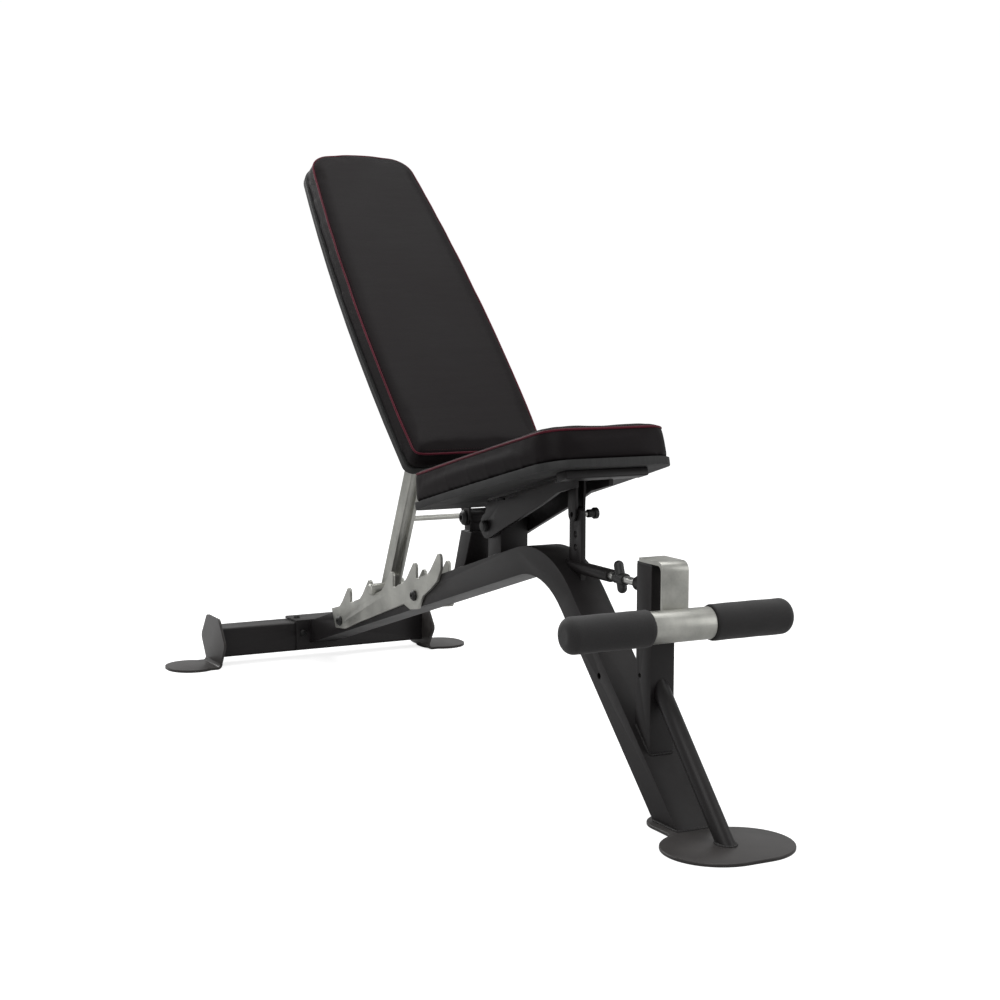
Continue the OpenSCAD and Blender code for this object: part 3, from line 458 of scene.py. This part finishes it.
def easedCopy(node, radius):
    # the CAD shape with its loose triangles merged and its corners eased
    mesh = nodes[node].data.copy()
    piece = bpy.data.objects.new("eased." + node, mesh)
    bpy.context.collection.objects.link(piece)
    shape = bmesh.new()
    shape.from_mesh(mesh)
    bmesh.ops.remove_doubles(shape, verts=shape.verts, dist=2e-5)
    bmesh.ops.dissolve_limit(shape, angle_limit=math.radians(0.6), verts=shape.verts, edges=shape.edges)
    for face in shape.faces:
        face.smooth = True
    shape.to_mesh(mesh)
    shape.free()
    mesh.materials.clear()
    mesh.materials.append(finishes[slotOf[node]])
    ease = piece.modifiers.new("easedCorners", "BEVEL")
    ease.width = radius / 1000
    ease.segments = 3
    ease.limit_method = "ANGLE"
    ease.angle_limit = math.radians(38)
    ease.use_clamp_overlap = True
    ease.harden_normals = True
    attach(piece, bodyOf[node])
    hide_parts(node)
    return piece


def dressFrame():
    soft = ("back_pad", "seat_pad", "roller_foam_left", "roller_foam_right")
    for node, piece in nodes.items():
        if node in edgeRadius:
            easedCopy(node, edgeRadius[node])
        elif node not in soft:
            for place in piece.material_slots:
                place.material = finishes[slotOf[node]]
    print("frame dressed:", len(edgeRadius), "eased pieces")


# ---- pads ----

padRecipe = {
    "back_pad": {"voxel": 5.0, "pressure": 4.0, "cap": 4.0, "corner": 9.0, "shrink": 1.0, "fill": 0.85},
    "seat_pad": {"voxel": 4.5, "pressure": 2.5, "cap": 2.5, "corner": 9.0, "shrink": 1.0, "fill": 0.85},
}
stuffingFrames = 20
# the skin is stapled to the board over this depth, and let go over the next
heldDepth = 0.003
heldFade = 0.004


def padFrame(node):
    # middle and outward normal of a pad's face, from its own corners
    points = np.array([v.co[:] for v in nodes[node].data.vertices])
    middle = points.mean(axis=0)
    spread = np.linalg.svd(points - middle, full_matrices=False)[2]
    normal = spread[2] if spread[2][2] > 0 else -spread[2]
    return points, middle, normal


def faceRim(node, steps=420):
    # the outline of the pad's face as evenly spaced points, found on the CAD solid
    points, middle, normal = padFrame(node)
    out = (points - middle) @ normal
    rim = np.unique(points[out > out.max() - 2e-4].round(5), axis=0)
    across = np.array([1.0, 0, 0])
    up = np.cross(normal, across)
    centre = rim.mean(axis=0)
    angle = np.arctan2((rim - centre) @ up, (rim - centre) @ across)
    rim = rim[np.argsort(angle)]
    loop = np.vstack([rim, rim[:1]])
    length = np.concatenate([[0], np.cumsum(np.linalg.norm(np.diff(loop, axis=0), axis=1))])
    at = np.linspace(0, length[-1], steps, endpoint=False)
    even = np.column_stack([np.interp(at, length, loop[:, k]) for k in range(3)])
    for _ in range(4):
        even = (np.roll(even, 1, axis=0) + even * 2 + np.roll(even, -1, axis=0)) / 4
    return even, centre, normal


def stuffedPad(node):
    recipe = padRecipe[node]
    mesh = nodes[node].data.copy()
    piece = bpy.data.objects.new("stuffed." + node, mesh)
    bpy.context.collection.objects.link(piece)
    _, middle, normal = padFrame(node)
    shape = bmesh.new()
    shape.from_mesh(mesh)
    bmesh.ops.remove_doubles(shape, verts=shape.verts, dist=2e-5)
    bmesh.ops.dissolve_limit(shape, angle_limit=math.radians(0.6), verts=shape.verts, edges=shape.edges)
    shape.normal_update()
    n = Vector(normal)
    out = [(v.co - Vector(middle)).dot(n) for v in shape.verts]
    low, high = min(out), max(out)
    front = [e for e in shape.edges if all((v.co - Vector(middle)).dot(n) > high - 1e-4 for v in e.verts)]
    bmesh.ops.bevel(shape, geom=front, offset=recipe["corner"] / 1000, segments=5, profile=0.5,
                    affect="EDGES")
    # a slightly smaller start, held at the board
    for v in shape.verts:
        depth = ((v.co - Vector(middle)).dot(n) - low) / (high - low)
        v.co -= v.normal * recipe["shrink"] / 1000 * min(1, depth * 3)
    shape.to_mesh(mesh)
    shape.free()
    remesh = piece.modifiers.new("even", "REMESH")
    remesh.mode = "VOXEL"
    remesh.voxel_size = recipe["voxel"] / 1000
    solidify(piece)
    start = [v.co.copy() for v in piece.data.vertices]
    held = piece.vertex_groups.new(name="held")
    for v in piece.data.vertices:
        depth = (v.co - Vector(middle)).dot(n) - low
        if depth < heldDepth + heldFade:
            held.add([v.index], 1.0 - max(0, depth - heldDepth) / heldFade, "REPLACE")
    cloth = piece.modifiers.new("stuffing", "CLOTH")
    settings = cloth.settings
    settings.use_pressure = True
    settings.uniform_pressure_force = recipe["pressure"]
    settings.vertex_group_mass = "held"
    settings.effector_weights.gravity = 0
    settings.quality = 5
    cloth.point_cache.frame_start = 1
    cloth.point_cache.frame_end = stuffingFrames
    for step in range(1, stuffingFrames + 1):
        bpy.context.scene.frame_set(step)
    solidify(piece)
    bpy.context.scene.frame_set(1)
    cap = recipe["cap"] / 1000
    for v, was in zip(piece.data.vertices, start):
        move = v.co - was
        if move.length > cap:
            v.co = was + move * (cap / move.length)
    evenOut(piece, 6)
    finer = piece.modifiers.new("finer", "SUBSURF")
    finer.levels = finer.render_levels = 1
    for face in piece.data.polygons:
        face.use_smooth = True
    piece.data.materials.clear()
    piece.data.materials.append(finishes["pad_vinyl"])
    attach(piece, bodyOf[node])
    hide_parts(node)
    print(node, "stuffed:", len(piece.data.vertices), "points")
    return piece


def evenOut(piece, rounds):
    shape = bmesh.new()
    shape.from_mesh(piece.data)
    for _ in range(rounds):
        bmesh.ops.smooth_vert(shape, verts=shape.verts, factor=0.35, use_axis_x=True, use_axis_y=True,
                              use_axis_z=True)
    shape.to_mesh(piece.data)
    shape.free()


def solidify(piece):
    # bakes the live modifiers into the mesh
    graph = bpy.context.evaluated_depsgraph_get()
    graph.update()
    baked = bpy.data.meshes.new_from_object(piece.evaluated_get(graph))
    piece.modifiers.clear()
    piece.data = baked


def sweptTube(name, path, radius, sides=10):
    # a closed round tube along a closed path
    path = np.array(path)
    count = len(path)
    forward = np.roll(path, -1, axis=0) - np.roll(path, 1, axis=0)
    forward /= np.linalg.norm(forward, axis=1)[:, None]
    middle = path.mean(axis=0)
    outward = path - middle
    outward -= (outward * forward).sum(axis=1)[:, None] * forward
    outward /= np.linalg.norm(outward, axis=1)[:, None]
    third = np.cross(forward, outward)
    points = []
    for k in range(sides):
        a = 2 * math.pi * k / sides
        points.append(path + radius * (math.cos(a) * outward + math.sin(a) * third))
    points = np.stack(points, axis=1).reshape(-1, 3)
    faces = [(i * sides + k, i * sides + (k + 1) % sides,
              ((i + 1) % count) * sides + (k + 1) % sides, ((i + 1) % count) * sides + k)
             for i in range(count) for k in range(sides)]
    tube = meshObject(name, points, faces)
    shape = bmesh.new()
    shape.from_mesh(tube.data)
    bmesh.ops.recalc_face_normals(shape, faces=shape.faces)
    for face in shape.faces:
        face.smooth = True
    shape.to_mesh(tube.data)
    shape.free()
    return tube


def surfaceOf(piece):
    graph = bpy.context.evaluated_depsgraph_get()
    return BVHTree.FromObject(piece, graph)


trim = {"pipingRadius": 2.0, "pipingIn": 2.0, "pipingBelow": 5.0, "stitchIn": 9.0, "stitchPitch": 5.0,
        "stitchHalf": 1.7, "stitchRadius": 0.42}


def trimPad(node, pad):
    # piping round the face and a row of stitches inside it, both laid on the stuffed surface
    rim, centre, normal = faceRim(node)
    skin = surfaceOf(pad)
    inward = centre - rim
    inward -= (inward @ normal)[:, None] * normal
    inward /= np.linalg.norm(inward, axis=1)[:, None]
    def laid(inset, below):
        guess = rim + inward * inset / 1000 - normal * below / 1000
        found = [skin.find_nearest(Vector(p)) for p in guess]
        return np.array([f[0][:] for f in found]), np.array([f[1][:] for f in found])
    on, away = laid(trim["pipingIn"], trim["pipingBelow"])
    on = smoothLoop(on, 6)
    piping = sweptTube("piping." + node, on + away * 0.0006, trim["pipingRadius"] / 1000)
    piping.data.materials.append(pipingVinyl)
    on, away = laid(trim["stitchIn"], 0)
    stitches = beadedPath("stitches." + node, smoothLoop(on, 6) + away * 0.0001, stitchThread,
                          spacing=trim["stitchPitch"], half=trim["stitchHalf"], radius=trim["stitchRadius"])
    for piece in (piping, stitches):
        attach(piece, bodyOf[node])
    print(node, "piped and stitched")


def smoothLoop(points, rounds):
    for _ in range(rounds):
        points = (np.roll(points, 1, axis=0) + points * 2 + np.roll(points, -1, axis=0)) / 4
    return points


# ---- beads along a path: stitches in the pads, ripples in the welds ----

def makeBeadTree():
    tree = bpy.data.node_groups.new("beadsOnPath", "GeometryNodeTree")
    face = tree.interface
    face.new_socket("Geometry", in_out="INPUT", socket_type="NodeSocketGeometry")
    for label, value in (("Spacing", 0.005), ("Half Length", 0.002), ("Radius", 0.0005), ("Wobble", 0.0)):
        face.new_socket(label, in_out="INPUT", socket_type="NodeSocketFloat").default_value = value
    face.new_socket("Finish", in_out="INPUT", socket_type="NodeSocketMaterial")
    face.new_socket("Geometry", in_out="OUTPUT", socket_type="NodeSocketGeometry")
    add = tree.nodes.new
    join = tree.links.new
    given, result = add("NodeGroupInput"), add("NodeGroupOutput")
    curve = add("GeometryNodeMeshToCurve")
    join(given.outputs["Geometry"], curve.inputs["Mesh"])
    spread = add("GeometryNodeCurveToPoints")
    spread.mode = "LENGTH"
    join(curve.outputs["Curve"], spread.inputs["Curve"])
    join(given.outputs["Spacing"], spread.inputs["Length"])
    bead = add("GeometryNodeMeshUVSphere")
    bead.inputs["Segments"].default_value = 8
    bead.inputs["Rings"].default_value = 5
    bead.inputs["Radius"].default_value = 1
    size = add("ShaderNodeCombineXYZ")
    join(given.outputs["Radius"], size.inputs["X"])
    join(given.outputs["Radius"], size.inputs["Y"])
    join(given.outputs["Half Length"], size.inputs["Z"])
    shaped = add("GeometryNodeTransform")
    join(bead.outputs["Mesh"], shaped.inputs["Geometry"])
    join(size.outputs["Vector"], shaped.inputs["Scale"])
    dice = add("FunctionNodeRandomValue")
    dice.data_type = "FLOAT"
    floats = [s for s in dice.inputs if s.type == "VALUE" and s.name in ("Min", "Max")]
    low = mathNode(tree, "SUBTRACT", 1.0, given.outputs["Wobble"])
    high = mathNode(tree, "ADD", 1.0, given.outputs["Wobble"])
    join(low, floats[0])
    join(high, floats[1])
    dice.inputs["Seed"].default_value = 7
    copies = add("GeometryNodeInstanceOnPoints")
    join(spread.outputs["Points"], copies.inputs["Points"])
    join(shaped.outputs["Geometry"], copies.inputs["Instance"])
    join(spread.outputs["Rotation"], copies.inputs["Rotation"])
    join([s for s in dice.outputs if s.type == "VALUE"][0], copies.inputs["Scale"])
    real = add("GeometryNodeRealizeInstances")
    join(copies.outputs["Instances"], real.inputs["Geometry"])
    smooth = add("GeometryNodeSetShadeSmooth")
    join(real.outputs["Geometry"], smooth.inputs["Geometry"])
    paint = add("GeometryNodeSetMaterial")
    join(smooth.outputs["Geometry"], paint.inputs["Geometry"])
    join(given.outputs["Finish"], paint.inputs["Material"])
    join(paint.outputs["Geometry"], result.inputs["Geometry"])
    return tree


beadTree = makeBeadTree()


def beadedPath(name, path, finish, spacing, half, radius, wobble=0.0, closed=True):
    count = len(path)
    guide = bpy.data.meshes.new(name)
    last = count if closed else count - 1
    guide.from_pydata([tuple(p) for p in path], [(i, (i + 1) % count) for i in range(last)], [])
    piece = bpy.data.objects.new(name, guide)
    bpy.context.collection.objects.link(piece)
    beads = piece.modifiers.new("beads", "NODES")
    beads.node_group = beadTree
    given = {"Spacing": spacing / 1000, "Half Length": half / 1000, "Radius": radius / 1000, "Wobble": wobble,
             "Finish": finish}
    for item in beadTree.interface.items_tree:
        if item.item_type == "SOCKET" and item.in_out == "INPUT" and item.name in given:
            beads[item.identifier] = given[item.name]
    solidify(piece)
    return piece


weldSize = {"spacing": 1.7, "half": 1.6, "radius": 2.6, "wobble": 0.16}


def weldLoop(name, path, body, scale=1.0):
    size = {key: value * (scale if key in ("half", "radius") else 1) for key, value in weldSize.items()}
    bead = beadedPath("weld." + name, path, weldSteel, **size)
    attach(bead, body)


def footOutline(node, level, width=1e-4):
    # corners of a CAD node near a height, as a box in plan
    points = np.array([v.co[:] for v in nodes[node].data.vertices])
    near = points[np.abs(points[:, 2] - level) < width]
    return near[:, :2].min(axis=0), near[:, :2].max(axis=0)


def planLoop(low, high, z, ease=0.004, steps=6):
    # a rectangle in plan with eased corners, at height z
    quarters = ((high[0], high[1], 0), (low[0], high[1], 90), (low[0], low[1], 180), (high[0], low[1], 270))
    loop = []
    for cx, cy, start in quarters:
        sx = -1 if cx == high[0] else 1
        sy = -1 if cy == high[1] else 1
        for k in range(steps + 1):
            a = math.radians(start + 90 * k / steps)
            loop.append((cx + sx * ease + ease * math.cos(a), cy + sy * ease + ease * math.sin(a), z))
    return np.array(loop)


def weldBench():
    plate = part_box("front_foot_plate")[1][2]
    low, high = footOutline("main_beam", plate)
    weldLoop("leg_to_foot", planLoop(low, high, plate), "frame")
    low, high = footOutline("front_brace_rod", plate, 3e-4)
    middle, reach = (low + high) / 2, (high - low) / 2
    ring = [(middle[0] + reach[0] * math.cos(a), middle[1] + reach[1] * math.sin(a), plate)
            for a in np.linspace(0, 2 * math.pi, 40, endpoint=False)]
    weldLoop("brace_to_foot", ring, "frame")
    for node in ("roller_post", "front_upright", "rear_upright"):
        slantedWeld(node)
    print("welds laid")


def slantedWeld(node):
    # round the sloping lower end of an upright: its lowest corner on each side
    points = np.array([v.co[:] for v in nodes[node].data.vertices])
    lowX, highX = points[:, 0].min(), points[:, 0].max()
    side = points[np.abs(points[:, 0] - lowX) < 1e-5][:, 1:]
    bottom = []
    for y in (side[:, 0].min(), side[:, 0].max()):
        near = side[np.abs(side[:, 0] - y) < 1e-4]
        bottom.append((y, near[:, 1].min()))
    if node == "rear_upright":
        low = side[np.argsort(side[:, 1])][:1][0]
        rest = side[np.abs(side[:, 1] - low[1]) < 0.02]
        bottom = [tuple(rest[np.argmin(rest[:, 0])]), tuple(rest[np.argmax(rest[:, 0])])]
    (y1, z1), (y2, z2) = bottom
    flat = planLoop(np.array([lowX, y1]), np.array([highX, y2]), 0)
    flat[:, 2] = z1 + (flat[:, 1] - y1) * (z2 - z1) / (y2 - y1)
    weldLoop(node, flat, bodyOf[node], 0.9)


# ---- foam rollers ----

rollerRecipe = {"around": 96, "along": 60, "endRound": 15.0, "swell": 0.5, "mouthShare": 0.62, "fill": 1.0}


def foamRoller(node):
    # a skinned foam sleeve with a domed end, a soft mouth and the faint waviness of moulded foam
    low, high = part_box(node)
    centre = (low + high) / 2
    radius = (high[2] - low[2]) / 2
    outerEnd = 1 if centre[0] > 0 else -1
    mouth = low[0] if outerEnd > 0 else high[0]
    length = high[0] - low[0]
    dome = rollerRecipe["endRound"] / 1000
    profile = [(0.0015, radius - 0.006), (0.0002, radius - 0.0035), (0.0015, radius - 0.0008),
               (0.004, radius)]
    profile += [(x, radius) for x in np.linspace(0.008, length - dome, rollerRecipe["along"])]
    profile += [(length - dome + dome * math.sin(a), radius - dome + dome * math.cos(a))
                for a in np.linspace(0.12, math.pi / 2, 14)]
    profile += [(length - 0.0002, (radius - dome) * share) for share in (0.75, 0.5, 0.25)]
    count = rollerRecipe["around"]
    points, faces = [], []
    for step, (x, r) in enumerate(profile):
        for k in range(count):
            a = 2 * math.pi * k / count
            wave = math.sin(3 * a + x * 40) * math.sin(x * 90 + 1.3) * rollerRecipe["swell"] / 1000 * 0.5
            grow = r + (wave if 0.006 < x < length - dome else 0)
            points.append((mouth + outerEnd * x, centre[1] + grow * math.cos(a),
                           centre[2] + grow * math.sin(a)))
            if step:
                faces.append(((step - 1) * count + k, (step - 1) * count + (k + 1) % count,
                              step * count + (k + 1) % count, step * count + k))
    inner = radius * rollerRecipe["mouthShare"]
    ring = len(points)
    turns = np.linspace(0, 2 * math.pi, count, endpoint=False)
    lip = mouth + outerEnd * profile[0][0]
    points += [(lip, centre[1] + inner * math.cos(a), centre[2] + inner * math.sin(a)) for a in turns]
    faces += [(k, (k + 1) % count, ring + (k + 1) % count, ring + k) for k in range(count)]
    faces.append(tuple(ring + k for k in range(count)))
    tail = (len(profile) - 1) * count
    faces.append(tuple(tail + k for k in range(count)))
    piece = meshObject("foam." + node, points, faces)
    shape = bmesh.new()
    shape.from_mesh(piece.data)
    bmesh.ops.recalc_face_normals(shape, faces=shape.faces)
    for face in shape.faces:
        face.smooth = len(face.verts) == 4
    shape.to_mesh(piece.data)
    shape.free()
    piece.data.materials.append(finishes["roller_foam"])
    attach(piece, bodyOf[node])
    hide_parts(node)


placeCamera()
lightStudio()
dressFrame()
for padNode in ("back_pad", "seat_pad"):
    trimPad(padNode, stuffedPad(padNode))
for rollerNode in ("roller_foam_left", "roller_foam_right"):
    foamRoller(rollerNode)
weldBench()
